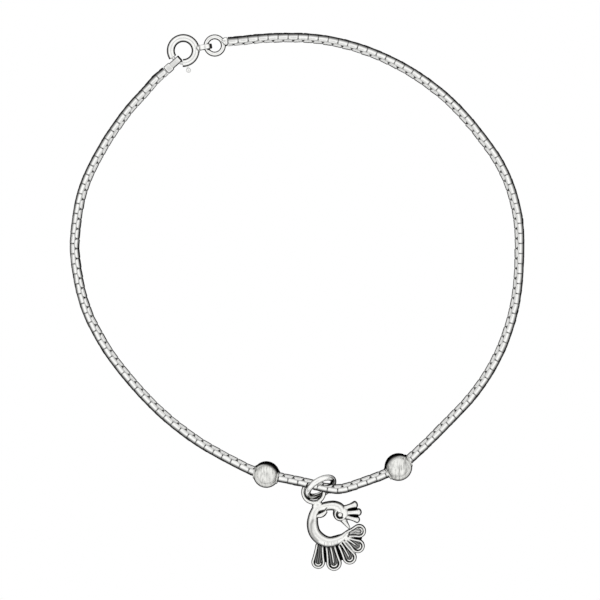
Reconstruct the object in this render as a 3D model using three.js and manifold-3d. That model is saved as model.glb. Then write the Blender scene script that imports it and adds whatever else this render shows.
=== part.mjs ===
// Anklet of square box-snake chain, laid open on a table: chain, two hollow balls, a cast
// peacock charm on a jump ring, and a spring-ring clasp. Millimetres, +Z up, z = 0 is the
// table, x to the right and y away from the charm.
import * as THREE from 'three';
import { mergeVertices } from 'three/addons/utils/BufferGeometryUtils.js';
import Module from 'manifold-3d';

const wasm = await Module();
wasm.setup();

const degrees = Math.PI / 180;

// Driving dimensions
const chainSide = 1.5; // across two flat sides of the chain
const chainCorner = 0.28; // flat cut off each corner of the chain
const platePitch = 1.8; // one plate of the chain to the next
const plateLap = 0.035; // how far a plate's lapped end stands out
const plateStep = 0.05; // share of the pitch that a lapped end takes
const fitGap = 0.06; // between pieces that meet

const clasp = { x: -20.45, y: 44.85, z: 0.8, radius: 2.24, tube: 0.73, bore: 0.4 };
const claspMouth = { from: 209, to: 268 }; // degrees round the clasp, from +x towards +y
const claspBore = { from: 202, to: 357 };
const claspSlot = { from: 278.6, to: 353.4, height: 0.52 };
const tongue = { wire: 0.28, from: 206, to: 292, trigger: 285 };
const trigger = { width: 0.44, height: 0.36, nubRadius: 0.42, reach: 4.1 };
const eyelet = { angle: 8.9, distance: 3.95, radius: 1.05, wire: 0.25, width: 0.9, z: 1.3 };

const endRing = { distance: 5.73, radius: 1.55, wire: 0.45, z: 1.15 };
const strap = { bearing: 42, slot: 0.4, wall: 0.24, width: 1.0, slotBack: -0.75, slotTip: 0.26 };
const strapFoot = { from: -2.62, to: -1.2, width: 1.56, height: 1.4 };

const jumpRing = { x: 4.236, y: -33.597, z: 2.82, radius: 2.6, wire: 0.54, turn: 31.74, lean: 60.26 };
const charmRing = { x: 2.993, y: -34.551, z: 1.56, radius: 1.85, wire: 0.4, lean: 4.4, roll: 2.08 };
const charmBack = -0.45; // flat back of the cast charm, below the middle of its ring
const featherTop = 0.4;
const featherFloor = 0.02;
const featherRim = 0.42;

const ballHole = 1.12;

// Middle of the chain, from the strap round the left, the charm and the right to the end ring,
// and its roll: how far the top side leans outwards, in degrees
const chainRoute = [
  { x: -23.68, y: 41.21, z: 0.86, roll: 10 },
  { x: -25.4, y: 39.7, z: 0.88, roll: 14 },
  { x: -27.3, y: 37.5, z: 0.9, roll: 18 },
  { x: -30.2, y: 34.3, z: 0.9, roll: 20 },
  { x: -35.0, y: 27.3, z: 0.9, roll: 22 },
  { x: -38.6, y: 19.5, z: 0.9, roll: 30 },
  { x: -39.95, y: 11.0, z: 0.89, roll: 45 },
  { x: -39.8, y: 6.8, z: 0.89, roll: 45 },
  { x: -38.04, y: -1.32, z: 0.9, roll: 36 },
  { x: -34.35, y: -8.63, z: 0.9, roll: 28 },
  { x: -29.6, y: -14.9, z: 0.9, roll: 24 },
  { x: -24.2, y: -20.5, z: 0.95, roll: 22 },
  { x: -18.12, y: -25.24, z: 1.23, roll: 22 },
  { x: -11.3, y: -29.1, z: 1.8, roll: 24 },
  { x: -7.7, y: -30.8, z: 2.2, roll: 26 },
  { x: -5.5, y: -31.35, z: 2.4, roll: 27 },
  { x: -3.2, y: -31.85, z: 2.66, roll: 28 },
  { x: 1.3, y: -32.78, z: 2.95, roll: 30 },
  { x: 5.4, y: -33.75, z: 3.03, roll: 30 },
  { x: 7.7, y: -33.96, z: 3.0, roll: 30 },
  { x: 12.5, y: -32.5, z: 2.86, roll: 30 },
  { x: 16.2, y: -31.1, z: 2.66, roll: 28 },
  { x: 18.2, y: -30.0, z: 2.5, roll: 27 },
  { x: 20.1, y: -28.7, z: 2.36, roll: 26 },
  { x: 26.7, y: -22.4, z: 1.5, roll: 24 },
  { x: 32.3, y: -16.3, z: 1.05, roll: 22 },
  { x: 36.5, y: -9.3, z: 0.91, roll: 22 },
  { x: 39.1, y: -1.4, z: 0.9, roll: 22 },
  { x: 40.0, y: 6.8, z: 0.9, roll: 22 },
  { x: 39.7, y: 15.2, z: 0.9, roll: 22 },
  { x: 37.15, y: 23.23, z: 0.9, roll: 22 },
  { x: 32.5, y: 30.2, z: 0.9, roll: 22 },
  { x: 26.9, y: 36.3, z: 0.9, roll: 22 },
  { x: 20.2, y: 41.2, z: 0.9, roll: 22 },
  { x: 12.72, y: 44.77, z: 0.9, roll: 20 },
  { x: 4.6, y: 46.85, z: 0.9, roll: 18 },
  { x: -3.9, y: 47.2, z: 0.92, roll: 14 },
  { x: -12.4, y: 46.47, z: 1.06, roll: 8 },
];

const balls = [
  { name: 'bead_left', x: -5.5, radius: 2.4 },
  { name: 'bead_right', x: 18.2, radius: 2.5 },
];

// Charm, seen from above with the middle of its ring at 0, 0: x and y along the middle of a
// limb, half its width, and how thick it is for its width
const body = {
  flatness: 0.78,
  rows: [
    { x: 0.67, y: -2.6, half: 0.78 },
    { x: -0.02, y: -4.15, half: 0.9 },
    { x: -0.19, y: -5.83, half: 1.06 },
    { x: 0.22, y: -7.36, half: 1.1 },
    { x: 1.3, y: -8.48, half: 1.1 },
    { x: 2.65, y: -8.99, half: 1.02 },
    { x: 4.09, y: -8.75, half: 0.9 },
    { x: 5.35, y: -8.05, half: 0.7 },
    { x: 6.3, y: -7.0, half: 0.36 },
  ],
};
const neck = {
  flatness: 0.8,
  rows: [
    { x: 0.85, y: -2.9, half: 0.7 },
    { x: 1.75, y: -2.62, half: 0.8 },
    { x: 2.65, y: -2.45, half: 0.86 },
    { x: 3.73, y: -2.42, half: 0.92 },
    { x: 4.6, y: -2.85, half: 1.0 },
    { x: 4.95, y: -3.65, half: 1.05 },
  ],
};
const stem = {
  flatness: 0.6,
  rows: [
    { x: 0.3, y: -1.6, half: 0.66 },
    { x: 0.6, y: -2.15, half: 1.0 },
    { x: 0.8, y: -3.1, half: 1.02 },
  ],
};
const beak = {
  flatness: 0.8,
  rows: [
    { x: 5.2, y: -4.7, half: 0.62 },
    { x: 5.75, y: -5.5, half: 0.36 },
    { x: 6.5, y: -6.5, half: 0.2 },
  ],
};
const leaf = {
  flatness: 0.9,
  rows: [
    { x: 0.5, y: -4.25, half: 0.3 },
    { x: 1.1, y: -4.1, half: 0.46 },
    { x: 1.75, y: -3.75, half: 0.42 },
    { x: 2.2, y: -3.3, half: 0.25 },
  ],
};
const plumes = [
  { fromX: 5.3, fromY: -2.9, toX: 7.45, toY: -2.2, half: 0.46, knob: 0.64 },
  { fromX: 5.7, fromY: -3.7, toX: 8.1, toY: -3.55, half: 0.44, knob: 0.62 },
  { fromX: 5.8, fromY: -4.45, toX: 7.85, toY: -4.95, half: 0.42, knob: 0.56 },
];
const head = { x: 4.93, y: -3.78, radius: 1.5, height: 0.78, eyeX: 4.79, eyeY: -3.98, eye: 0.56 };
const feathers = [
  { fromX: 1.15, fromY: -9.1, toX: 0.84, toY: -12.62, root: 0.76, end: 1.25 },
  { fromX: 2.95, fromY: -9.4, toX: 3.66, toY: -12.82, root: 1.0, end: 1.39 },
  { fromX: 4.85, fromY: -9.1, toX: 6.46, toY: -11.75, root: 0.82, end: 1.3 },
  { fromX: 5.7, fromY: -8.3, toX: 7.92, toY: -9.7, root: 0.6, end: 1.29 },
  { fromX: 6.1, fromY: -7.55, toX: 8.18, toY: -6.98, root: 0.72, end: 1.25 },
];
// Thin casting that joins the plumes and the feathers behind: corners of the two webs
const webTop = -0.12;
const plumeWeb = [
  { x: 4.7, y: -2.9 },
  { x: 7.1, y: -2.2 },
  { x: 7.6, y: -3.55 },
  { x: 7.4, y: -4.95 },
  { x: 5.2, y: -4.45 },
];
const tailWeb = [
  { x: 1.0, y: -8.6 },
  { x: 0.9, y: -12.4 },
  { x: 2.2, y: -12.7 },
  { x: 3.66, y: -12.8 },
  { x: 5.05, y: -12.35 },
  { x: 6.4, y: -11.7 },
  { x: 7.5, y: -10.95 },
  { x: 8.0, y: -9.7 },
  { x: 8.75, y: -8.3 },
  { x: 8.1, y: -7.1 },
  { x: 6.2, y: -7.2 },
];

const polishedSilver = { color: 0xd9dadb, metalness: 1.0, roughness: 0.22 };
const satinSilver = { color: 0xc9cac9, metalness: 1.0, roughness: 0.34 };
const castSilver = { color: 0xb9bab8, metalness: 1.0, roughness: 0.38 };

// A closed skin through rings that all have the same number of points
function loft(rings) {
  const sides = rings[0].length;
  const index = [];
  for (let ring = 0; ring < rings.length - 1; ring += 1) {
    for (let side = 0; side < sides; side += 1) {
      const here = ring * sides + side;
      const beside = ring * sides + ((side + 1) % sides);
      index.push(here, beside, beside + sides);
      index.push(here, beside + sides, here + sides);
    }
  }
  const last = (rings.length - 1) * sides;
  for (let side = 1; side < sides - 1; side += 1) {
    index.push(0, side + 1, side);
    index.push(last, last + side, last + side + 1);
  }
  const geometry = new THREE.BufferGeometry();
  geometry.setFromPoints(rings.flat());
  geometry.setIndex(index);
  return geometry;
}

function toSolid(geometry) {
  const bare = geometry.clone();
  bare.deleteAttribute('normal');
  bare.deleteAttribute('uv');
  const merged = mergeVertices(bare, 1e-4);
  return new wasm.Manifold(
    new wasm.Mesh({
      numProp: 3,
      vertProperties: merged.attributes.position.array,
      triVerts: Uint32Array.from(merged.index.array),
    }),
  );
}

function toGeometry(solid) {
  const mesh = solid.getMesh();
  const geometry = new THREE.BufferGeometry();
  geometry.setAttribute('position', new THREE.BufferAttribute(mesh.vertProperties, 3));
  geometry.setIndex(new THREE.BufferAttribute(mesh.triVerts, 1));
  return geometry;
}

function joined(geometries) {
  return geometries.map(toSolid).reduce((whole, piece) => whole.add(piece));
}

function makeMesh(name, geometry, finish) {
  const mesh = new THREE.Mesh(geometry, new THREE.MeshStandardMaterial(finish));
  mesh.name = name;
  geometry.computeVertexNormals();
  return mesh;
}

// Chain
const routeCurve = new THREE.CatmullRomCurve3(
  chainRoute.map((row) => new THREE.Vector3(row.x, row.y, row.z)),
  false,
  'centripetal',
);
routeCurve.arcLengthDivisions = 2000;

function rollAt(share) {
  const place = share * (chainRoute.length - 1);
  const before = Math.min(Math.floor(place), chainRoute.length - 2);
  return THREE.MathUtils.lerp(chainRoute[before].roll, chainRoute[before + 1].roll, place - before);
}

// Middle and directions of the chain at a share of its length: forward, and its inner and top
// sides as the roll turns them
function chainFrame(share) {
  const place = routeCurve.getUtoTmapping(share);
  const middle = routeCurve.getPoint(place);
  const forward = routeCurve.getTangent(place);
  const level = new THREE.Vector3().crossVectors(new THREE.Vector3(0, 0, 1), forward).normalize();
  const upward = new THREE.Vector3().crossVectors(forward, level);
  const roll = rollAt(place) * degrees;
  const inward = level.clone().multiplyScalar(Math.cos(roll)).addScaledVector(upward, Math.sin(roll));
  const topward = upward.clone().multiplyScalar(Math.cos(roll)).addScaledVector(level, -Math.sin(roll));
  return { middle, forward, inward, topward };
}

// Corners of the chain's section: the top and bottom pair of sides and the two others swell
// and step down half a pitch apart
function chainSection(frame, topSwell, sideSwell) {
  const half = chainSide / 2;
  const inner = half - chainCorner;
  const corners = [
    [half + sideSwell, -inner],
    [half + sideSwell, inner],
    [inner, half + topSwell],
    [-inner, half + topSwell],
    [-half - sideSwell, inner],
    [-half - sideSwell, -inner],
    [-inner, -half - topSwell],
    [inner, -half - topSwell],
  ];
  return corners.map(([across, up]) =>
    frame.middle.clone().addScaledVector(frame.inward, across).addScaledVector(frame.topward, up),
  );
}

// A plate rises along its length to its lapped end, where the next one starts low
function plateSwell(plateShare) {
  return THREE.MathUtils.lerp(-plateLap, plateLap, (plateShare - plateStep) / (1 - 2 * plateStep));
}

function makeChain() {
  const count = Math.round(routeCurve.getLength() / platePitch);
  const stations = [0];
  for (let link = 0; link < count; link += 1) {
    for (const share of [plateStep, 0.5 - plateStep, 0.5 + plateStep, 1 - plateStep]) {
      stations.push(link + share);
    }
  }
  stations.push(count);
  const rings = stations.map((station) => {
    const topShare = station % 1;
    const sideShare = (station + 0.5) % 1;
    const isEnd = station === 0 || station === count;
    const topSwell = isEnd ? 0 : plateSwell(topShare);
    const sideSwell = isEnd ? 0 : plateSwell(sideShare);
    return chainSection(chainFrame(station / count), topSwell, sideSwell);
  });
  return makeMesh('snake_chain', loft(rings), polishedSilver);
}

// Balls, drilled for the chain and turned to follow it
function shareAtX(x) {
  let best = { share: 0, miss: Infinity };
  for (let share = 0.3; share < 0.6; share += 0.0005) {
    const miss = Math.abs(routeCurve.getPointAt(share).x - x);
    best = miss < best.miss ? { share, miss } : best;
  }
  return best.share;
}

function makeBall({ name, x, radius }) {
  const edgeAngle = Math.asin(ballHole / radius);
  const bands = 12;
  const profile = [];
  for (let band = 0; band <= bands; band += 1) {
    const angle = Math.PI - edgeAngle - ((Math.PI - 2 * edgeAngle) * band) / bands;
    profile.push(new THREE.Vector2(radius * Math.sin(angle), radius * Math.cos(angle)));
  }
  profile.push(profile[0].clone());
  const mesh = makeMesh(name, new THREE.LatheGeometry(profile, 16), satinSilver);
  const frame = chainFrame(shareAtX(x));
  mesh.quaternion.setFromUnitVectors(new THREE.Vector3(0, 1, 0), frame.forward);
  mesh.position.copy(frame.middle);
  return mesh;
}

// Rings of wire
function ringGeometry({ radius, wire }) {
  return new THREE.TorusGeometry(radius, wire, 6, 16);
}

function makeJumpRing() {
  const mesh = makeMesh('jump_ring', ringGeometry(jumpRing), polishedSilver);
  mesh.position.set(jumpRing.x, jumpRing.y, jumpRing.z);
  mesh.rotation.set(jumpRing.lean * degrees, 0, jumpRing.turn * degrees, 'ZXY');
  return mesh;
}

// Charm
function limb({ rows, flatness }, steps = rows.length + 1, sides = 8) {
  const curve = new THREE.CatmullRomCurve3(rows.map((row) => new THREE.Vector3(row.x, row.y, row.half)));
  const upward = new THREE.Vector3(0, 0, 1);
  const rings = [];
  for (let step = 0; step <= steps; step += 1) {
    const point = curve.getPoint(step / steps);
    const forward = curve.getTangent(step / steps).setZ(0).normalize();
    const across = new THREE.Vector3().crossVectors(upward, forward);
    const ring = [];
    for (let side = 0; side < sides; side += 1) {
      const angle = ((side + 0.5) / sides) * 2 * Math.PI;
      const corner = new THREE.Vector3(point.x, point.y, 0);
      corner.addScaledVector(across, point.z * Math.cos(angle));
      corner.addScaledVector(upward, point.z * flatness * Math.sin(angle));
      ring.push(corner);
    }
    rings.push(ring);
  }
  return loft(rings);
}

// A drop shape from its root to a round end, along x
function dropShape(length, root, end) {
  const shape = new THREE.Shape();
  shape.moveTo(0, -root);
  shape.quadraticCurveTo(length * 0.55, -root, length - end * 0.1, -end);
  shape.absarc(length, 0, end, -Math.PI / 2, Math.PI / 2, false);
  shape.quadraticCurveTo(length * 0.55, root, 0, root);
  shape.closePath();
  return shape;
}

function dropGeometry(length, root, end, bottom, top, curveSegments) {
  const shape = dropShape(length, root, end);
  const geometry = new THREE.ExtrudeGeometry(shape, {
    depth: top - bottom,
    bevelEnabled: false,
    curveSegments,
  });
  return geometry.translate(0, 0, bottom);
}

function makeFeather({ fromX, fromY, toX, toY, root, end }) {
  const length = Math.hypot(toX - fromX, toY - fromY);
  const outer = toSolid(dropGeometry(length, root, end, charmBack, featherTop, 6));
  const pan = dropGeometry(length, root - featherRim * 0.9, end - featherRim, featherFloor, 1, 5);
  const vein = dropGeometry(length * 0.72, 0.12, 0.2, featherFloor - 0.1, featherTop - 0.1, 3);
  const solid = outer.subtract(toSolid(pan)).add(toSolid(vein));
  const turn = new THREE.Matrix4().makeRotationZ(Math.atan2(toY - fromY, toX - fromX));
  turn.setPosition(fromX, fromY, 0);
  return toSolid(toGeometry(solid).applyMatrix4(turn));
}

function makePlume({ fromX, fromY, toX, toY, half, knob }) {
  const rows = [
    { x: fromX, y: fromY, half },
    { x: THREE.MathUtils.lerp(fromX, toX, 0.65), y: THREE.MathUtils.lerp(fromY, toY, 0.65), half },
    { x: toX, y: toY, half: knob },
  ];
  const tip = new THREE.SphereGeometry(knob, 8, 5);
  tip.rotateX(Math.PI / 2);
  tip.translate(toX, toY, 0);
  return joined([limb({ rows, flatness: 1 }, 2, 6), tip]);
}

function makeWeb(corners) {
  const shape = new THREE.Shape(corners.map(({ x, y }) => new THREE.Vector2(x, y)));
  const depth = webTop - charmBack;
  return toSolid(new THREE.ExtrudeGeometry(shape, { depth, bevelEnabled: false }).translate(0, 0, charmBack));
}

function makeCharm() {
  const skull = new THREE.SphereGeometry(head.radius, 12, 6);
  skull.rotateX(Math.PI / 2);
  skull.scale(1, 1, head.height / head.radius);
  skull.translate(head.x, head.y, 0);
  const eye = new THREE.SphereGeometry(head.eye, 8, 5);
  eye.rotateX(Math.PI / 2);
  eye.translate(head.eyeX, head.eyeY, head.height - 0.22);
  let solid = joined([
    ringGeometry(charmRing),
    limb(stem),
    limb(body, 11),
    limb(neck),
    skull,
    eye,
    limb(beak),
    limb(leaf, 3, 6),
  ]);
  for (const plume of plumes) {
    solid = solid.add(makePlume(plume));
  }
  solid = solid.add(makeWeb(plumeWeb)).add(makeWeb(tailWeb));
  for (const feather of feathers) {
    solid = solid.add(makeFeather(feather));
  }
  const below = new THREE.BoxGeometry(40, 40, 4);
  below.translate(0, 0, charmBack - 2);
  const mesh = makeMesh('peacock_charm', toGeometry(solid.subtract(toSolid(below))), castSilver);
  mesh.position.set(charmRing.x, charmRing.y, charmRing.z);
  mesh.rotation.set(charmRing.lean * degrees, -charmRing.roll * degrees, 0);
  return mesh;
}

// Clasp: arcs of round section about the middle of the clasp
function arcTube(from, to, radius, tube, sides, step) {
  const steps = Math.ceil((to - from) / step);
  const rings = [];
  for (let index = 0; index <= steps; index += 1) {
    const around = (from + ((to - from) * index) / steps) * degrees;
    const ring = [];
    for (let side = 0; side < sides; side += 1) {
      const angle = ((side + 0.5) / sides) * 2 * Math.PI;
      const reach = radius - tube * Math.cos(angle);
      ring.push(new THREE.Vector3(reach * Math.cos(around), reach * Math.sin(around), tube * Math.sin(angle)));
    }
    rings.push(ring);
  }
  return loft(rings);
}

function sector(from, to, inner, outer, height) {
  const shape = new THREE.Shape();
  shape.absarc(0, 0, outer, from * degrees, to * degrees, false);
  shape.absarc(0, 0, inner, to * degrees, from * degrees, true);
  shape.closePath();
  const options = { depth: height, bevelEnabled: false, curveSegments: 8 };
  return new THREE.ExtrudeGeometry(shape, options).translate(0, 0, -height / 2);
}

function makeClaspRing() {
  const tube = arcTube(claspMouth.to, claspMouth.from + 360, clasp.radius, clasp.tube, 12, 13);
  const bore = arcTube(claspBore.from, claspBore.to, clasp.radius, clasp.bore, 10, 13);
  const slot = sector(claspSlot.from, claspSlot.to, clasp.radius, clasp.radius + 2, claspSlot.height);
  const loop = ringGeometry({ radius: eyelet.radius, wire: eyelet.wire });
  loop.scale(1, 1, eyelet.width / (2 * eyelet.wire));
  loop.rotateX(Math.PI / 2);
  loop.translate(eyelet.distance, 0, eyelet.z - clasp.z);
  loop.rotateZ(eyelet.angle * degrees);
  const solid = toSolid(tube).add(toSolid(loop)).subtract(toSolid(bore)).subtract(toSolid(slot));
  const mesh = makeMesh('clasp_ring', toGeometry(solid), polishedSilver);
  mesh.position.set(clasp.x, clasp.y, clasp.z);
  return mesh;
}

function makeClaspTongue() {
  const wire = arcTube(tongue.from, tongue.to, clasp.radius, tongue.wire, 8, 13);
  const stemLength = trigger.reach - trigger.nubRadius - clasp.radius;
  const lever = new THREE.BoxGeometry(stemLength, trigger.width, trigger.height);
  lever.translate(clasp.radius + stemLength / 2, 0, 0);
  const nub = new THREE.CylinderGeometry(trigger.nubRadius, trigger.nubRadius, 0.5, 10);
  nub.rotateX(Math.PI / 2);
  nub.translate(trigger.reach - trigger.nubRadius, 0, 0);
  lever.rotateZ(tongue.trigger * degrees);
  nub.rotateZ(tongue.trigger * degrees);
  const mesh = makeMesh('clasp_tongue', toGeometry(joined([wire, lever, nub])), polishedSilver);
  mesh.position.set(clasp.x, clasp.y, clasp.z);
  return mesh;
}

// Strap loop on the chain's left end, folded over the tongue: x runs from the chain to the
// clasp, and the slot is seen from the side
function stadium(Kind, from, to, radius) {
  const outline = new Kind();
  outline.moveTo(from, -radius);
  outline.lineTo(to, -radius);
  outline.absarc(to, 0, radius, -Math.PI / 2, Math.PI / 2, false);
  outline.lineTo(from, radius);
  outline.absarc(from, 0, radius, Math.PI / 2, (3 * Math.PI) / 2, false);
  return outline;
}

function makeEndLoop() {
  const outerRadius = strap.slot + strap.wall;
  const shape = stadium(THREE.Shape, strapFoot.to - 0.4, strap.slotTip, outerRadius);
  shape.holes.push(stadium(THREE.Path, strap.slotBack, strap.slotTip, strap.slot));
  const fold = new THREE.ExtrudeGeometry(shape, {
    depth: strap.width,
    bevelEnabled: false,
    curveSegments: 5,
  });
  fold.translate(0, 0, -strap.width / 2);
  fold.rotateX(Math.PI / 2);
  const foot = new THREE.BoxGeometry(strapFoot.to - strapFoot.from, strapFoot.width, strapFoot.height);
  foot.translate((strapFoot.to + strapFoot.from) / 2, 0, 0);
  const middle = ((claspMouth.from + claspMouth.to) / 2) * degrees;
  const mesh = makeMesh('end_loop', toGeometry(joined([fold, foot])), satinSilver);
  mesh.position.set(
    clasp.x + clasp.radius * Math.cos(middle),
    clasp.y + clasp.radius * Math.sin(middle),
    clasp.z,
  );
  mesh.rotation.z = strap.bearing * degrees;
  return mesh;
}

// Ring on the chain's right end, with its soldered foot against the chain
function makeEndRing() {
  const bearing = eyelet.angle * degrees;
  const middle = new THREE.Vector3(
    clasp.x + endRing.distance * Math.cos(bearing),
    clasp.y + endRing.distance * Math.sin(bearing),
    endRing.z,
  );
  const chainEnd = chainFrame(1);
  const footEnd = chainEnd.middle.clone().addScaledVector(chainEnd.forward, fitGap);
  const footStart = footEnd.clone().addScaledVector(chainEnd.forward, 0.75);
  const half = chainSide / 2;
  const rings = [footEnd, footStart].map((point) =>
    [[half, -half], [half, half], [-half, half], [-half, -half]].map(([across, up]) =>
      point.clone().addScaledVector(chainEnd.inward, across).addScaledVector(chainEnd.topward, up),
    ),
  );
  const ring = ringGeometry(endRing).translate(middle.x, middle.y, middle.z);
  return makeMesh('end_ring', toGeometry(joined([loft(rings), ring])), polishedSilver);
}

const anklet = new THREE.Group();
anklet.name = 'anklet';
anklet.add(makeChain());
for (const ball of balls) {
  anklet.add(makeBall(ball));
}
anklet.add(makeJumpRing());
anklet.add(makeCharm());
anklet.add(makeClaspRing());
anklet.add(makeClaspTongue());
anklet.add(makeEndLoop());
anklet.add(makeEndRing());

// The origin is the middle of the anklet's box, on the table
const box = new THREE.Box3().setFromObject(anklet, true);
const middle = box.getCenter(new THREE.Vector3());
anklet.position.set(-middle.x, -middle.y, -box.min.z);

export default anklet;
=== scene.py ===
import math

import bmesh
import bpy
import numpy as np
from mathutils import Matrix, Vector


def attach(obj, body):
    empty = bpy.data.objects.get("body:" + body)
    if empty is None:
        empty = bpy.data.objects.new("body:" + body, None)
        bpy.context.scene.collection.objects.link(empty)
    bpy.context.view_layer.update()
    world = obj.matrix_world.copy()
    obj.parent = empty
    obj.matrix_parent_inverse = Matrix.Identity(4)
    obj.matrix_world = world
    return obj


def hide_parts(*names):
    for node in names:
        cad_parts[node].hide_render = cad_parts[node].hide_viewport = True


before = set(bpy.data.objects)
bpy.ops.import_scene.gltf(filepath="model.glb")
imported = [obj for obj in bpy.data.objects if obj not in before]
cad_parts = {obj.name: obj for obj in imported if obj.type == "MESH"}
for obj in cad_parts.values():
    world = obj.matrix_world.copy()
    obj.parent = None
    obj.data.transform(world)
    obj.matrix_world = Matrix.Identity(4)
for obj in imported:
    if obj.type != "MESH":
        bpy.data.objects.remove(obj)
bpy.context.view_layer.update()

# The anklet lies open on a plain white table inside a soft light tent, and is looked at from
# straight above through the tent's opening. Neither is part of it. Sizes here are in metres.
view_width = 0.108
view_middle = Vector((0.0005, 0.00031, 0.0))
camera_height = 1.0


def add_object(name, data):
    """Puts a new object into the scene."""
    made = bpy.data.objects.new(name, data)
    bpy.context.scene.collection.objects.link(made)
    return made


camera_data = bpy.data.cameras.new("camera")
camera = add_object("camera", camera_data)
camera.location = view_middle + Vector((0.0, 0.0, camera_height))
camera_data.lens = camera_data.sensor_width * camera_height / view_width
camera_data.clip_start = 0.01
bpy.context.scene.camera = camera
bpy.context.scene.view_settings.view_transform = "Standard"


def add_node(tree, kind, settings=(), links=()):
    """Adds a node, sets its sockets or properties by name and links sockets into it."""
    node = tree.nodes.new(kind)
    for name, value in dict(settings).items():
        if name in node.inputs:
            node.inputs[name].default_value = value
        else:
            setattr(node, name, value)
    for name, socket in dict(links).items():
        tree.links.new(socket, node.inputs[name])
    return node


def set_ramp(node, stops):
    """Gives a colour ramp its stops, each a place from 0 to 1 and a grey."""
    ramp = node.color_ramp
    while len(ramp.elements) < len(stops):
        ramp.elements.new(0.5)
    for element, (place, grey) in zip(ramp.elements, stops):
        element.position = place
        element.color = (grey, grey, grey, 1.0)


def show_white(tree, shader, white_kind, output_kind):
    """Shows plain white to the camera, and the shader to all that mirrors it."""
    plain = add_node(tree, white_kind, {"Color": (1.0, 1.0, 1.0, 1.0), "Strength": 1.0})
    ray = add_node(tree, "ShaderNodeLightPath")
    sources = {0: ray.outputs["Is Camera Ray"], 1: shader.outputs[0], 2: plain.outputs[0]}
    choice = add_node(tree, "ShaderNodeMixShader", links=sources)
    add_node(tree, output_kind, links={"Surface": choice.outputs[0]})


# Light tent: bright cloth from overhead down to near the table, a dark strip where it ends and
# a greyer opening overhead. Places are heights on a sphere, 0 at the table and 1 overhead.
tent_power = 1.2
tent_stops = [
    (0.0, 0.3),
    (0.1, 0.44),
    (0.24, 0.8),
    (0.4, 0.96),
    (0.6, 1.0),
    (0.94, 1.0),
    (0.985, 0.7),
]
world = bpy.data.worlds.new("light_tent")
world.use_nodes = True
bpy.context.scene.world = world
tree = world.node_tree
tree.nodes.clear()
sight = add_node(tree, "ShaderNodeTexCoord")
height = add_node(tree, "ShaderNodeSeparateXYZ", links={"Vector": sight.outputs["Generated"]})
tent = add_node(tree, "ShaderNodeValToRGB", links={"Fac": height.outputs["Z"]})
set_ramp(tent, tent_stops)
light = add_node(
    tree, "ShaderNodeBackground", {"Strength": tent_power}, {"Color": tent.outputs["Color"]}
)
show_white(tree, light, "ShaderNodeBackground", "ShaderNodeOutputWorld")


# Table: a sheet of paper that looks pure white. What the silver mirrors of it is a little greyer.
# It lies a hair under the anklet, so that the two surfaces stay apart.
table_size = 3.0
table_grey = 0.94
table_drop = 0.00002


def object_from(name, bm):
    """Puts a new object with a mesh from a bmesh into the scene, and frees the bmesh."""
    mesh = bpy.data.meshes.new(name)
    bm.to_mesh(mesh)
    bm.free()
    return add_object(name, mesh)


bm = bmesh.new()
bmesh.ops.create_grid(bm, x_segments=1, y_segments=1, size=table_size / 2)
table = object_from("table", bm)
table.location.z = -table_drop
material = bpy.data.materials.new("plain_white_table")
material.use_nodes = True
tree = material.node_tree
tree.nodes.clear()
paper = add_node(
    tree, "ShaderNodeBsdfDiffuse", {"Color": (table_grey, table_grey, table_grey, 1.0)}
)
show_white(tree, paper, "ShaderNodeEmission", "ShaderNodeOutputMaterial")
table.data.materials.append(material)


# Snake chain: square box-snake chain of pressed silver shells, each lapped over the next, the
# four sides set half a pitch apart on a hidden link core. Seams are oxidised, and towards the
# corners the shells carry oxide and painted shade, most on the outer side.
# Sizes from here on are in millimetres, and part_shift centres the whole anklet on the origin.
mm_per_metre = 1000.0
part_shift = Vector((-0.0425, 0.326, 0.0159))
route = [
    # x, y and z of the chain's middle, and how far its top leans outwards in degrees
    (-23.68, 41.21, 0.86, 10),
    (-25.4, 39.7, 0.88, 14),
    (-27.3, 37.5, 0.9, 18),
    (-30.2, 34.3, 0.9, 20),
    (-35.0, 27.3, 0.9, 22),
    (-38.6, 19.5, 0.9, 30),
    (-39.95, 11.0, 0.89, 45),
    (-39.8, 6.8, 0.89, 45),
    (-38.04, -1.32, 0.9, 36),
    (-34.35, -8.63, 0.9, 28),
    (-29.6, -14.9, 0.9, 24),
    (-24.2, -20.5, 0.95, 22),
    (-18.12, -25.24, 1.23, 22),
    (-11.3, -29.1, 1.8, 24),
    (-7.7, -30.8, 2.2, 26),
    (-5.5, -31.35, 2.4, 27),
    (-3.2, -31.85, 2.66, 28),
    (1.3, -32.78, 2.95, 30),
    (5.4, -33.75, 3.03, 30),
    (7.7, -33.96, 3.0, 30),
    (12.5, -32.5, 2.86, 30),
    (16.2, -31.1, 2.66, 28),
    (18.2, -30.0, 2.5, 27),
    (20.1, -28.7, 2.36, 26),
    (26.7, -22.4, 1.5, 24),
    (32.3, -16.3, 1.05, 22),
    (36.5, -9.3, 0.91, 22),
    (39.1, -1.4, 0.9, 22),
    (40.0, 6.8, 0.9, 22),
    (39.7, 15.2, 0.9, 22),
    (37.15, 23.23, 0.9, 22),
    (32.5, 30.2, 0.9, 22),
    (26.9, 36.3, 0.9, 22),
    (20.2, 41.2, 0.9, 22),
    (12.72, 44.77, 0.9, 20),
    (4.6, 46.85, 0.9, 18),
    (-3.9, 47.2, 0.92, 14),
    (-12.4, 46.47, 1.06, 8),
]


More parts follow.
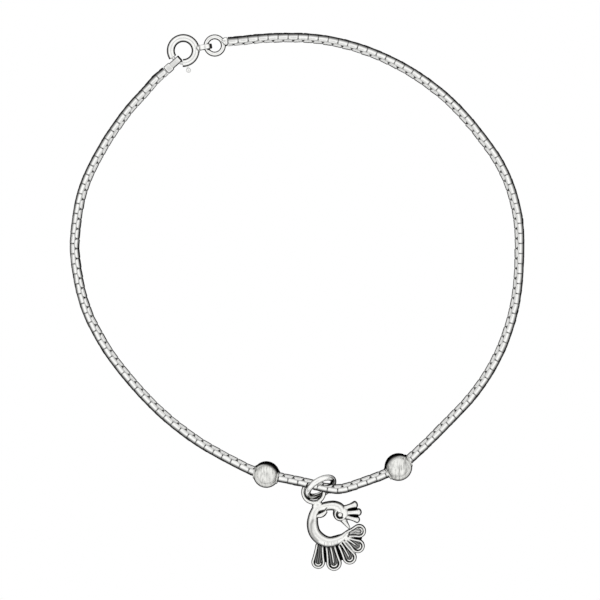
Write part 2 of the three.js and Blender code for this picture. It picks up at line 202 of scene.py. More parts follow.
def smooth_curve(points, steps):
    """Points on a centripetal Catmull-Rom curve through the given ones, steps to a span."""
    points = [np.array(point, dtype=float) for point in points]
    ends = [2 * points[0] - points[1], *points, 2 * points[-1] - points[-2]]
    made = []
    for before, here, there, after in zip(ends, ends[1:], ends[2:], ends[3:]):
        gap0 = max(np.linalg.norm(here - before) ** 0.5, 1e-6)
        gap1 = max(np.linalg.norm(there - here) ** 0.5, 1e-6)
        gap2 = max(np.linalg.norm(after - there) ** 0.5, 1e-6)
        leave = (here - before) / gap0 - (there - before) / (gap0 + gap1) + (there - here) / gap1
        arrive = (there - here) / gap1 - (after - here) / (gap1 + gap2) + (after - there) / gap2
        leave = leave * gap1
        arrive = arrive * gap1
        for step in range(steps):
            t = step / steps
            cubic = 2 * here - 2 * there + leave + arrive
            square = -3 * here + 3 * there - 2 * leave - arrive
            made.append(((cubic * t + square) * t + leave) * t + here)
    made.append(points[-1])
    return np.array(made)


route_steps = 60
route_line = smooth_curve([row[:3] for row in route], route_steps) + np.array(part_shift)
row_places = np.arange(len(route_line)) / route_steps
route_roll = np.radians(np.interp(row_places, range(len(route)), [row[3] for row in route]))
route_spans = np.linalg.norm(np.diff(route_line, axis=0), axis=1)
route_along = np.concatenate([[0.0], np.cumsum(route_spans)])
route_forward = np.gradient(route_line, route_along, axis=0)
route_forward /= np.linalg.norm(route_forward, axis=1)[:, None]
level = np.cross([0.0, 0.0, 1.0], route_forward)
level /= np.linalg.norm(level, axis=1)[:, None]
upward = np.cross(route_forward, level)
route_inward = level * np.cos(route_roll)[:, None] + upward * np.sin(route_roll)[:, None]
route_topward = upward * np.cos(route_roll)[:, None] - level * np.sin(route_roll)[:, None]
chain_length = route_along[-1]


def at_length(table, length):
    """Rows of a table of the route at given lengths from its start."""
    return np.stack([np.interp(length, route_along, table[:, axis]) for axis in range(3)], axis=-1)


def bend_along_chain(mesh):
    """Moves a straight mesh, millimetres along x, inward y and topward z, onto the route."""
    flat = np.empty(len(mesh.vertices) * 3)
    mesh.vertices.foreach_get("co", flat)
    flat = flat.reshape(-1, 3)
    placed = at_length(route_line, flat[:, 0])
    placed += at_length(route_inward, flat[:, 0]) * flat[:, 1:2]
    placed += at_length(route_topward, flat[:, 0]) * flat[:, 2:3]
    mesh.vertices.foreach_set("co", (placed / mm_per_metre).ravel())
    mesh.update()


usual_pitch = 1.8
plate_count = round(chain_length / usual_pitch)
pitch = chain_length / plate_count
plate = {
    # "end_dark" is a share of the full film, and "tilt" is in radians
    "seam": 0.07,
    "half_width": 0.64,
    "crown": 0.11,
    "edge_drop": 0.1,
    "lap": 0.022,
    "end_drop": 0.05,
    "skirt": 0.16,
    "end_dark": 0.6,
    "tilt": 0.03,
}
tilt_seed = 7
plate_crease = 0.9
plate_sides = [
    # turn about the chain in degrees, and how far out the plate sits; then for its low edge, at
    # v = -1, and for its high edge, at v = 1, how much the corners are cut back, and the v towards
    # that edge at which the oxide and painted shade start and are full
    (0, 0.785, (0.1, -0.2, 0.42), (0.16, 0.82, 1.1)),
    (90, 0.785, (0.2, 0.6, 1.0), (0.2, 0.25, 0.75)),
    (180, 0.785, (0.2, 0.6, 1.0), (0.2, 0.6, 1.0)),
    (270, 0.865, (0.42, 0.82, 1.15), (0.1, -0.35, 0.1)),
]


def turn_about(axis, degrees):
    """A matrix that turns about an axis."""
    return Matrix.Rotation(math.radians(degrees), 4, axis)


def add_plate(bm, start, turn, out, low_edge, high_edge):
    """One pressed shell, crowned across, rounded at its ends, its far end lapped higher."""
    # u and v run from -1 to 1 along and across it. High powers bend only what is near its edges.
    oxide_and_shade = bm.verts.layers.float["oxide_and_shade"]
    made = bmesh.ops.create_grid(bm, x_segments=5, y_segments=7, size=1.0)["verts"]
    half_length = (pitch - plate["seam"]) / 2
    for vert in made:
        u = math.sin(vert.co.x * math.pi / 2)
        v = math.sin(vert.co.y * math.pi / 2)
        corner = high_edge[0] if v > 0 else low_edge[0]
        vert.co.x = u * (half_length - corner * abs(v) ** 3)
        vert.co.y = v * plate["half_width"]
        vert.co.z = out - plate["crown"] * v * v - plate["edge_drop"] * v**6
        vert.co.z += plate["lap"] * u - plate["end_drop"] * abs(u) ** 14
        # Dark towards the long edges: oxide in the corner seams and painted shade, widest on the
        # outer side; at the lapped ends, oxide in the seams
        low_edge_darkness = (-v - low_edge[1]) / (low_edge[2] - low_edge[1])
        high_edge_darkness = (v - high_edge[1]) / (high_edge[2] - high_edge[1])
        end_film = plate["end_dark"] if abs(u) > 0.99 else 0.0
        vert[oxide_and_shade] = min(1.0, max(0.0, low_edge_darkness, high_edge_darkness, end_film))
    rim = [edge for edge in {e for vert in made for e in vert.link_edges} if edge.is_boundary]
    pulled = bmesh.ops.extrude_edge_only(bm, edges=rim)["geom"]
    skirt = [item for item in pulled if isinstance(item, bmesh.types.BMVert)]
    bmesh.ops.translate(bm, vec=(0.0, 0.0, -plate["skirt"]), verts=skirt)
    both = made + skirt
    bmesh.ops.translate(bm, vec=(start + pitch / 2, 0.0, 0.0), verts=both)
    bmesh.ops.rotate(bm, matrix=turn_about("X", turn), verts=both)
    return len(both)


def dressed_mesh(source):
    """A mesh as an object's modifiers leave it."""
    graph = bpy.context.evaluated_depsgraph_get()
    return bpy.data.meshes.new_from_object(source.evaluated_get(graph))


def shade_smooth(bm, crease):
    """Shades a bmesh smooth, but for edges bent by more than the crease, in radians."""
    for face in bm.faces:
        face.smooth = True
    for edge in bm.edges:
        edge.smooth = edge.calc_face_angle(0.0) < crease


def slice_mesh(bm, place, outward, clear_outer=True):
    """Cuts a bmesh at a plane, drops what lies beyond it if asked, and returns the new edges."""
    whole = bm.verts[:] + bm.edges[:] + bm.faces[:]
    cut = bmesh.ops.bisect_plane(
        bm, geom=whole, plane_co=place, plane_no=outward, clear_outer=clear_outer
    )
    return [item for item in cut["geom_cut"] if isinstance(item, bmesh.types.BMEdge)]


# The four plates of one link are repeated along a straight chain, and each sits a little askew
bm = bmesh.new()
bm.verts.layers.float.new("oxide_and_shade")
for side, (turn, out, low_edge, high_edge) in enumerate(plate_sides):
    start = -(side % 2) * pitch / 2
    plate_verts = add_plate(bm, start, turn, out, low_edge, high_edge)
chain_shells = object_from("snake_chain_shells", bm)
repeat = chain_shells.modifiers.new("repeat", "ARRAY")
repeat.count = plate_count + 1
repeat.use_relative_offset = False
repeat.use_constant_offset = True
repeat.constant_offset_displace = (pitch, 0.0, 0.0)
shells_mesh = dressed_mesh(chain_shells)
chain_shells.modifiers.clear()
chain_shells.data = shells_mesh
flat = np.empty(len(shells_mesh.vertices) * 3)
shells_mesh.vertices.foreach_get("co", flat)
plates = flat.reshape(-1, plate_verts, 3)
middles = plates.mean(axis=1, keepdims=True)
askew = np.random.default_rng(tilt_seed).normal(0.0, plate["tilt"], (len(plates), 1, 3))
plates += np.cross(np.broadcast_to(askew, plates.shape), plates - middles)
shells_mesh.vertices.foreach_set("co", plates.ravel())
bm = bmesh.new()
bm.from_mesh(shells_mesh)
slice_mesh(bm, (0.0, 0.0, 0.0), (-1.0, 0.0, 0.0))
slice_mesh(bm, (chain_length, 0.0, 0.0), (1.0, 0.0, 0.0))
shade_smooth(bm, plate_crease)
bm.to_mesh(shells_mesh)
bm.free()
bend_along_chain(shells_mesh)

# Silver reflects nearly all light and hardly any colour. It is darkened in its hollows with liver
# of sulphur and polished bright again on its high spots. The steep sides of polished metal mirror
# the dark room beyond the tent, and the grazing grey stands for that. Real rubbing marks are a few
# hundredths of a millimetre wide, too fine for the picture, so they are drawn coarser.
grazing_grey = 0.05
cloud_mm = 1.4
cloud_film = 0.12
marks_height = 0.00002


def linear_colour(hex_colour):
    """A linear colour with alpha from an sRGB hex value."""
    channels = [int(hex_colour[index : index + 2], 16) / 255 for index in (1, 3, 5)]
    lit = [c / 12.92 if c <= 0.04045 else ((c + 0.055) / 1.055) ** 2.4 for c in channels]
    return (*lit, 1.0)


def stretch(tree, value, low, high, to_low, to_high):
    """A socket with a value stretched from one range to another."""
    limits = {"From Min": low, "From Max": high, "To Min": to_low, "To Max": to_high}
    return add_node(tree, "ShaderNodeMapRange", limits, {"Value": value}).outputs["Result"]


def combine(tree, operation, one, other):
    """A socket with the result of an operation on two others."""
    return add_node(tree, "ShaderNodeMath", {"operation": operation}, {0: one, 1: other}).outputs[0]


def silver_material(
    name, bright_hex, dark_hex, roughness, marks_mm, marks_depth, marks_film, marks_turn=0.0
):
    """Silver with rubbing marks, which hold some dark film, and an attribute of oxide and painted
    shade, 0 to 1.
    """
    made = bpy.data.materials.new(name)
    made.use_nodes = True
    tree = made.node_tree
    shader = tree.nodes["Principled BSDF"]
    shader.inputs["Metallic"].default_value = 1.0
    shader.inputs["Specular Tint"].default_value = (grazing_grey, grazing_grey, grazing_grey, 1.0)
    place = add_node(tree, "ShaderNodeTexCoord")
    cloud = add_node(
        tree,
        "ShaderNodeTexNoise",
        {"Scale": mm_per_metre / cloud_mm, "Detail": 3.0, "Roughness": 0.55},
        {"Vector": place.outputs["Object"]},
    )
    turned = add_node(tree, "ShaderNodeMapping", links={"Vector": place.outputs["Object"]})
    turned.inputs["Scale"].default_value = [mm_per_metre / size for size in marks_mm]
    turned.inputs["Rotation"].default_value = (0.0, 0.0, math.radians(marks_turn))
    marks = add_node(
        tree,
        "ShaderNodeTexNoise",
        {"Scale": 1.0, "Detail": 3.0, "Roughness": 0.65},
        {"Vector": turned.outputs["Vector"]},
    )
    rough = stretch(tree, cloud.outputs["Fac"], 0.3, 0.7, roughness * 0.75, roughness * 1.35)
    tree.links.new(rough, shader.inputs["Roughness"])
    bump = add_node(
        tree,
        "ShaderNodeBump",
        {"Strength": marks_depth, "Distance": marks_height},
        {"Height": marks.outputs["Fac"]},
    )
    tree.links.new(bump.outputs["Normal"], shader.inputs["Normal"])
    clouded = stretch(tree, cloud.outputs["Fac"], 0.35, 0.75, 0.0, cloud_film)
    scratched = stretch(tree, marks.outputs["Fac"], 0.48, 0.72, 0.0, marks_film)
    # The attribute darkens with oxide in hollows and with painted shade on steep sides, edges and
    # bands.
    oxide_and_shade = add_node(tree, "ShaderNodeAttribute", {"attribute_name": "oxide_and_shade"})
    all_over = combine(tree, "ADD", clouded, scratched)
    darkening = combine(tree, "MAXIMUM", all_over, oxide_and_shade.outputs["Fac"])
    colour = add_node(tree, "ShaderNodeMix", {"data_type": "RGBA"}, {0: darkening})
    colour.inputs[6].default_value = linear_colour(bright_hex)
    colour.inputs[7].default_value = linear_colour(dark_hex)
    tree.links.new(colour.outputs[2], shader.inputs["Base Color"])
    return made


# The shells are polished bright, and the core that shows between them is dull and nearly black
chain_silver = silver_material(
    "polished_fine_silver",
    "#F0F0EE",
    "#181818",
    roughness=0.17,
    marks_mm=(0.1, 0.1, 0.1),
    marks_depth=0.3,
    marks_film=0.1,
)
seam_silver = silver_material(
    "oxidised_silver_seam",
    "#2A2A2A",
    "#0C0C0C",
    roughness=0.5,
    marks_mm=(0.2, 0.2, 0.2),
    marks_depth=0.6,
    marks_film=0.3,
)
shells_mesh.materials.append(chain_silver)
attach(chain_shells, "anklet")
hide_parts("snake_chain")


def add_ring(bm, sides, radius, matrix):
    """A ring of edges round z, placed by a matrix."""
    ring = bmesh.ops.create_circle(bm, segments=sides, radius=radius, matrix=matrix)["verts"]
    return list({edge for vert in ring for edge in vert.link_edges})


def join_rings(bm, rings):
    """Skins rings of edges into a closed rod."""
    for one, other in zip(rings, rings[1:]):
        bmesh.ops.bridge_loops(bm, edges=one + other)
    bmesh.ops.contextual_create(bm, geom=rings[0])
    bmesh.ops.contextual_create(bm, geom=rings[-1])


# The core is an eight-sided rod, with three steps to a plate so that it bends as they do
core_radius = 0.67
core_steps = plate_count * 3
bm = bmesh.new()
about_x = turn_about("Y", 90) @ turn_about("Z", 22.5)
rings = []
for step in range(core_steps + 1):
    there = Matrix.Translation((chain_length * step / core_steps, 0.0, 0.0))
    rings.append(add_ring(bm, 8, core_radius, there @ about_x))
join_rings(bm, rings)
bmesh.ops.recalc_face_normals(bm, faces=bm.faces)
chain_core = object_from("snake_chain_core", bm)
bend_along_chain(chain_core.data)
chain_core.data.materials.append(seam_silver)
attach(chain_core, "anklet")
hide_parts("snake_chain")


# Balls: hollow silver balls raised in two cups, soldered, drilled and slid on the chain, each
# hole with a small rolled lip. They are satin brushed, so they glow and show fine strokes.
def paint_side_shade(bm, starts, full, bearing=0.0, more=0.0):
    """Paints shade on steep skin, where polished metal mirrors the dark room and the shaded table:
    from where the normal's z is under starts, whole where it is under full, and more of it towards
    a bearing."""
    darkening = bm.verts.layers.float.get("oxide_and_shade") or bm.verts.layers.float.new("oxide_and_shade")
    bm.normal_update()
    hidden = Vector((math.cos(math.radians(bearing)), math.sin(math.radians(bearing)), 0.0))
    for vert in bm.verts:
        upright = abs(vert.normal.z) - more * max(0.0, vert.normal.dot(hidden))
        steep = (starts - upright) / (starts - full)
        vert[darkening] = max(vert[darkening], min(1.0, steep))


def new_piece(name, bm, material, crease=0.6, steep_shade=None):
    """A piece from a bmesh that was shaped in millimetres where the piece lies."""
    bmesh.ops.remove_doubles(bm, verts=bm.verts, dist=0.0001)
    bmesh.ops.recalc_face_normals(bm, faces=bm.faces)
    # Painted shade on steep skin, where it is asked for
    if steep_shade:
        paint_side_shade(bm, *steep_shade)
    shade_smooth(bm, crease)
    bmesh.ops.translate(bm, vec=part_shift, verts=bm.verts)
    bmesh.ops.scale(bm, vec=[1 / mm_per_metre] * 3, verts=bm.verts)
    piece = object_from(name, bm)
    piece.data.materials.append(material)
    return piece


def add_spun(bm, profile, steps, angle=2 * math.pi, closed=True):
    """Spins an outline, rows of distance from and place along z, about z. One that isn't closed
    starts and ends on z."""
    verts = [bm.verts.new((reach, 0.0, along)) for reach, along in profile]
    following = verts[1:] + verts[:1] if closed else verts[1:]
    edges = [bm.edges.new(pair) for pair in zip(verts, following)]
    whole_turn = angle >= 2 * math.pi
    spun = bmesh.ops.spin(
        bm,
        geom=verts + edges,
        axis=(0.0, 0.0, 1.0),
        cent=(0.0, 0.0, 0.0),
        angle=angle,
        steps=steps,
        use_merge=whole_turn,
    )
    if not whole_turn:
        last = [item for item in spun["geom_last"] if isinstance(item, bmesh.types.BMEdge)]
        bmesh.ops.contextual_create(bm, geom=edges)
        bmesh.ops.contextual_create(bm, geom=last)


ball_wall = 0.3
ball_hole = 1.08
inside_angle = 0.62  # radians off the hole's middle where the inner skin starts
front_y = -20.0  # the stretch of chain nearer than this is its front, with the charm
balls = [
    # name, place along the chain's front by its x, radius, and its painted shade on rim and one
    # side
    ("bead_left", -5.5, 2.4, (0.5, 0.3, 58, 0.5)),
    ("bead_right", 18.2, 2.5, (0.5, 0.3, 125, 0.4)),
]
lip_rows = [
    # outline of the rolled lip: how far out from the hole's edge, and how far past the ball's skin
    (0.16, 0.01),
    (0.1, 0.09),
    (0.02, 0.09),
    (-0.03, 0.02),
    (-0.03, -ball_wall),
    (0.3, -ball_wall - 0.1),
]
# The brush goes round the ball, so its strokes are long one way and narrow the other
satin_silver = silver_material(
    "satin_brushed_silver",
    "#E6E6E2",
    "#202020",
    roughness=0.25,
    marks_mm=(0.24, 1.8, 1.8),
    marks_depth=1.0,
    marks_film=0.7,
    marks_turn=15.0,
)


def arc_rows(radius, start, end, steps):
    """Rows of an arc for add_spun, from one angle off z to another in radians, both included."""
    angles = [start + (end - start) * step / steps for step in range(steps + 1)]
    return [(radius * math.sin(angle), radius * math.cos(angle)) for angle in angles]


for name, x, radius, ball_shade in balls:
    edge_angle = math.asin(ball_hole / radius)
    skin = arc_rows(radius, edge_angle, math.pi - edge_angle, 32)[1:-1]
    inside = arc_rows(radius - ball_wall, math.pi - inside_angle, inside_angle, 8)
    lip_place = radius * math.cos(edge_angle)
    low_lip = [(ball_hole + out, -lip_place - past) for out, past in lip_rows]
    high_lip = [(reach, -along) for reach, along in reversed(low_lip)]
    bm = bmesh.new()
    add_spun(bm, skin + low_lip + inside + high_lip, steps=64)
    off_x = np.abs(route_line[:, 0] - part_shift.x - x)
    off_x[route_line[:, 1] > part_shift.y + front_y] = np.inf
    nearest = int(np.argmin(off_x))
    forward = Vector(route_forward[nearest])
    there = Matrix.Translation(Vector(route_line[nearest]) - part_shift)
    along_chain = forward.to_track_quat("Z", "Y").to_matrix().to_4x4()
    bmesh.ops.transform(bm, matrix=there @ along_chain, verts=bm.verts)
    ball = new_piece(f"{name}_hollow_ball", bm, satin_silver, steep_shade=ball_shade)
    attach(ball, "anklet")
    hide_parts(name)


# Jump ring: round silver wire, cut from a coil, bent round the chain and the charm's ring and
# closed again, so that its cut shows as a fine line. Polished bright, with painted shade on its
# steep sides.
def wire_section(radius, wire, sides):
    """The outline of round wire at a ring's radius, as rows for add_spun."""
    angles = [2 * math.pi * side / sides for side in range(sides)]
    return [(radius + wire * math.cos(angle), wire * math.sin(angle)) for angle in angles]


def round_edges(bm, edges, size, segments=2):
    """Rounds edges off."""
    bmesh.ops.bevel(
        bm, geom=edges, affect="EDGES", offset=size, segments=segments, profile=0.5, material=-1
    )


def round_ends(bm, size, segments=2):
    """Rounds off a rod's flat ends, its only faces with more than four corners."""
    ends = [face for face in bm.faces if len(face.verts) > 4]
    round_edges(bm, [edge for face in ends for edge in face.edges], size, segments)


jump_ring = {
    "x": 4.236,
    "y": -33.597,
    "z": 2.82,
    "radius": 2.6,
    "wire": 0.54,
    "turn": 31.74,
    "lean": 60.26,
    "cut_radians": 0.012,
    "cut_bearing": 200,
    "cut_rounding": 0.04,
}
wire_silver = silver_material(
    "polished_silver_wire",
    "#F0F0EE",
    "#161616",
    roughness=0.15,
    marks_mm=(0.3, 0.3, 0.3),
    marks_depth=0.25,
    marks_film=0.12,
)

bm = bmesh.new()
section = wire_section(jump_ring["radius"], jump_ring["wire"], sides=24)
add_spun(bm, section, 110, 2 * math.pi - jump_ring["cut_radians"])
round_ends(bm, jump_ring["cut_rounding"])
bmesh.ops.rotate(bm, matrix=turn_about("Z", jump_ring["cut_bearing"]), verts=bm.verts)
lean = turn_about("X", jump_ring["lean"])
turn = turn_about("Z", jump_ring["turn"])
there = Matrix.Translation((jump_ring["x"], jump_ring["y"], jump_ring["z"]))
bmesh.ops.transform(bm, matrix=there @ turn @ lean, verts=bm.verts)
jump_piece = new_piece("jump_ring_wire", bm, wire_silver, steep_shade=(0.6, 0.38))
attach(jump_piece, "anklet")
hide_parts("jump_ring")


# Peacock charm: one silver casting with a flat back. Ring, stem, crescent body, curled neck,
# head, beak, crest and five tail feathers; oxidised all over, then polished on the high parts.
# Places are measured from the middle of the charm's own ring, with the charm laid flat.
charm_ring = {
    "x": 2.993,
    "y": -34.551,
    "z": 1.56,
    "radius": 1.85,
    "wire": 0.4,
    "lean": 4.4,
    "roll": 2.08,
}
charm_back = -0.45
body_rows = [
    # x, y and half the width along the middle of a limb
    (0.67, -2.6, 0.78),
    (-0.02, -4.15, 0.9),
    (-0.19, -5.83, 1.06),
    (0.22, -7.36, 1.1),
    (1.3, -8.48, 1.1),
    (2.65, -8.99, 1.02),
    (4.09, -8.75, 0.9),
    (5.35, -8.05, 0.7),
    (6.3, -7.0, 0.36),
]
neck_rows = [
    (0.85, -2.9, 0.7),
    (1.75, -2.62, 0.8),
    (2.65, -2.45, 0.86),
    (3.73, -2.42, 0.92),
    (4.6, -2.85, 1.0),
    (4.95, -3.65, 1.05),
]
stem_rows = [
    (0.3, -1.6, 0.66),
    (0.6, -2.15, 1.0),
    (0.8, -3.1, 1.02),
]
beak_rows = [
    (5.15, -4.6, 0.78),
    (5.7, -5.45, 0.5),
    (6.45, -6.5, 0.22),
]
leaf_rows = [
    (0.5, -4.25, 0.3),
    (1.15, -4.18, 0.48),
    (1.75, -3.9, 0.5),
    (2.3, -3.35, 0.32),
]
head = {"x": 4.93, "y": -3.78, "radius": 1.5, "height": 0.78}
eye = {"x": 4.79, "y": -3.98, "z": 0.56, "radius": 0.56, "height": 0.5}
# painted shade in a crescent round the eye's dome, on its left and lower side
eye_shade_crescent = {"radius": 0.8, "from": 120, "to": 320}
cheek = {"x": 4.85, "y": -3.9, "z": 0.5, "radius": 1.0, "from": 150, "to": 330, "step": 20}
cheek_half = {"middle": 0.2, "end": 0.1}
plume_waist = 0.6
plume_flatness = 0.9
plumes = [
    # from and to in x and y, half the width, and half the width and the length of the knob
    (5.3, -2.9, 7.45, -2.2, 0.48, 0.7, 0.52),
    (5.7, -3.7, 8.1, -3.55, 0.47, 0.7, 0.56),
    (5.8, -4.45, 7.85, -4.95, 0.44, 0.62, 0.5),
]
feathers = [
    # from and to in x and y, half the width at the root, the radius of the end, how much of its
    # length the quill takes, and how dark its inner leaf is
    (1.15, -9.1, 0.84, -12.62, 0.76, 1.25, 0.0, 0.88),
    (2.95, -9.4, 3.66, -12.82, 1.0, 1.39, 0.98, 0.88),
    (4.85, -9.1, 6.46, -11.75, 0.82, 1.3, 0.94, 0.85),
    (5.7, -8.3, 7.92, -9.7, 0.6, 1.29, 0.85, 0.82),
    (6.1, -7.55, 8.18, -6.98, 0.72, 1.25, 0.0, 0.45),
]
quill_size = {"half": 0.2, "end_half": 0.17, "bend": 0.04, "height": 0.13, "flatness": 1.3}
moon_size = {"reach": 0.42, "half": 0.08, "swell": 0.13, "height": 0.12, "flatness": 1.2}
web_top = -0.12
plume_web = [
    # corners of the thin casting that joins the plumes behind
    (4.7, -2.9),
    (7.3, -2.3),
    (7.9, -2.9),
    (8.2, -3.6),
    (8.1, -4.3),
    (7.7, -4.95),
    (5.2, -4.45),
]
tail_web = [
    # the same behind the feathers
    (1.0, -8.6),
    (0.9, -12.4),
    (2.2, -12.7),
    (3.66, -12.8),
    (5.05, -12.35),
    (6.4, -11.7),
    (7.5, -10.95),
    (8.0, -9.7),
    (8.75, -8.3),
    (8.1, -7.1),
    (6.2, -7.2),
]
feather_levels = [
    # how far in from the feather's edge, and the height there: side, rim, groove and inner leaf
    (0.0, 0.14),
    (0.12, 0.33),
    (0.2, 0.4),
    (0.42, 0.4),
    (0.47, -0.05),
    (0.55, -0.05),
    (0.62, 0.02),
]
leaf_heights = (-0.02, 0.08)
leaf_facing_up = 0.85
charm_strokes = [
    # half the width, depth and darkness of a chased line, which holds oxide, or of a band of
    # painted shade or reflection, and the points it passes
    (0.1, 0.1, 1.0, [(0.6, -4.1), (1.17, -3.49), (2.03, -3.24), (2.37, -2.77)]),
    (0.16, 0.05, 1.0, [(0.7, -4.72), (1.4, -4.62), (2.0, -4.2), (2.5, -3.55), (3.2, -3.25)]),
    # painted shade along the lowest plume's underside
    (0.16, 0.0, 1.0, [(5.7, -4.75), (6.25, -4.85), (7.2, -5.2), (7.9, -5.5)]),
    (0.07, 0.05, 0.9, [(5.82, -5.18), (6.2, -5.6), (6.5, -6.1)]),
    # painted: a reflected grey band down the body's left side, then shade along its lower edge by
    # the feathers
    (0.3, 0.0, 0.6, [(-0.12, -5.0), (-0.45, -5.7), (-0.38, -7.07), (0.05, -8.02), (0.7, -8.7)]),
    (0.3, 0.0, 0.85, [(0.3, -9.0), (1.1, -9.55), (2.1, -9.85), (3.5, -9.8), (4.4, -9.4)]),
    (0.06, 0.04, 0.75, [(2.0, -8.95), (1.95, -9.6)]),
    (0.06, 0.04, 0.7, [(2.45, -8.85), (2.45, -9.65)]),
    (0.05, 0.04, 0.6, [(2.72, -8.95), (2.74, -9.6)]),
    (0.06, 0.04, 0.7, [(3.25, -8.95), (3.3, -9.6)]),
    (0.06, 0.04, 0.65, [(3.65, -8.9), (3.74, -9.5)]),
    (0.06, 0.04, 0.6, [(4.25, -8.6), (4.4, -9.2)]),
    # painted shade under the neck
    (0.25, 0.0, 0.45, [(2.6, -3.0), (3.4, -3.0), (3.9, -3.3)]),
    (0.07, 0.05, 0.5, [(5.3, -8.05), (6.15, -7.1)]),
    # a shallow groove round the fifth feather, made darker as painted shade
    (0.1, 0.03, 1.0, [(6.85, -6.85), (7.45, -6.6), (8.2, -6.8), (8.6, -7.0)]),
    (0.1, 0.03, 1.0, [(8.6, -7.0), (8.2, -7.35), (7.5, -7.15), (7.0, -7.45)]),
]
streaks = {"spacing": 0.36, "depth": 0.13, "sway": 0.8, "sway_rate": 2.3}
charm_voxel = 0.058
charm_crease = 1.2

# Where the oxide stays: below a height, and faintly on the back. Slopes whose normal's z is under
# steep_from, and fully under steep_full, get painted shade. Strokes are cut only into skin that
# faces up.
oxide_high = 0.3
steep_from = 0.96
steep_full = 0.67
back_film = 0.35
facing_back = -0.5
facing_up = 0.3


def add_limb(bm, rows, flatness, height=0.0, steps=6, sides=20):
    """A rounded limb through rows of x, y and half width, flatness times as thick as wide."""
    path = smooth_curve(rows, steps)
    rings = []
    for index, (x, y, half) in enumerate(path):
        before = path[max(index - 1, 0)]
        after = path[min(index + 1, len(path) - 1)]
        forward = Vector((after[0] - before[0], after[1] - before[1], 0.0)).normalized()
        across = Vector((0.0, 0.0, 1.0)).cross(forward)
        upward = Vector((0.0, 0.0, half * flatness))
        place = Matrix((across * half, upward, forward)).transposed().to_4x4()
        place.translation = Vector((x, y, height))
        rings.append(add_ring(bm, sides, 1.0, place))
    join_rings(bm, rings)


def add_dome(bm, x, y, z, radii, turn=Matrix.Identity(4)):
    """A flattened ball of the charm."""
    place = Matrix.Translation((x, y, z)) @ turn @ Matrix.Diagonal((*radii, 1.0))
    bmesh.ops.create_uvsphere(bm, u_segments=28, v_segments=16, radius=1.0, matrix=place)


def lay_on_drop(face, around, length, root, end, inset, height):
    """Lays a face's corners on a drop-shaped outline, its root at 0, inset from its edge."""
    # Corners up to the flank, in degrees, lie on the round end, and the rest on the drop's sides
    flank = 110.0
    hollowness = 1.6
    reach = end - inset
    root = max(root - inset, 0.1)
    swell = reach * math.sin(math.radians(flank))
    start = length + reach * math.cos(math.radians(flank))
    for vert in face.verts:
        angle = vert[around]
        if abs(angle) <= flank:
            turned = math.radians(angle)
            vert.co = Vector((length + reach * math.cos(turned), reach * math.sin(turned), height))
        else:
            share = (abs(angle) - flank) / (180.0 - flank)
            half = root + (swell - root) * (1 - share) ** hollowness
            vert.co = Vector((start * (1 - share), math.copysign(half, angle), height))


def add_feather(bm, row):
    """A tail feather: raised rim, groove, inner leaf, bright quill and a moon near its tip."""
    from_x, from_y, to_x, to_y, root, end, quill, _ = row
    length = math.hypot(to_x - from_x, to_y - from_y)
    held = set(bm.verts)
    around = bm.verts.layers.float["around"]
    verts = bmesh.ops.create_circle(bm, cap_ends=True, segments=48, radius=1.0)["verts"]
    for vert in verts:
        vert[around] = math.degrees(math.atan2(vert.co.y, vert.co.x))
    face = verts[0].link_faces[0]
    lay_on_drop(face, around, length, root, end, 0.0, charm_back)
    for level, (inset, height) in enumerate(feather_levels):
        pulled = bmesh.ops.extrude_face_region(bm, geom=[face])["geom"]
        if level > 0:
            bmesh.ops.delete(bm, geom=[face], context="FACES_ONLY")
        face = [item for item in pulled if isinstance(item, bmesh.types.BMFace)][0]
        lay_on_drop(face, around, length, root, end, inset, height)
    if quill:
        quill_rows = [
            (0.1, 0.0, quill_size["half"]),
            (length * quill * 0.5, quill_size["bend"], quill_size["half"]),
            (length * quill, -quill_size["bend"], quill_size["end_half"]),
        ]
        add_limb(
            bm, quill_rows, quill_size["flatness"], quill_size["height"], steps=4, sides=10
        )
    moon_reach = end * moon_size["reach"]
    moon_rows = []
    for bearing in range(-81, 82, 27):
        outward = math.cos(math.radians(bearing))
        aside = math.sin(math.radians(bearing))
        half = moon_size["half"] + moon_size["swell"] * outward
        moon_rows.append((length + moon_reach * outward, moon_reach * aside, half))
    add_limb(bm, moon_rows, moon_size["flatness"], moon_size["height"], steps=3, sides=10)
    turn = Matrix.Rotation(math.atan2(to_y - from_y, to_x - from_x), 4, "Z")
    there = Matrix.Translation((from_x, from_y, 0.0))
    made = [vert for vert in bm.verts if vert not in held]
    bmesh.ops.transform(bm, matrix=there @ turn, verts=made)


def raise_faces(bm, faces, rise):
    """Extrudes faces along z."""
    pulled = bmesh.ops.extrude_face_region(bm, geom=faces)["geom"]
    lifted = [item for item in pulled if isinstance(item, bmesh.types.BMVert)]
    bmesh.ops.translate(bm, vec=(0.0, 0.0, rise), verts=lifted)


def add_web(bm, corners):
    """Thin casting between the back and the web's top, over a row of corners."""
    face = bm.faces.new([bm.verts.new((x, y, charm_back)) for x, y in corners])
    raise_faces(bm, [face], web_top - charm_back)


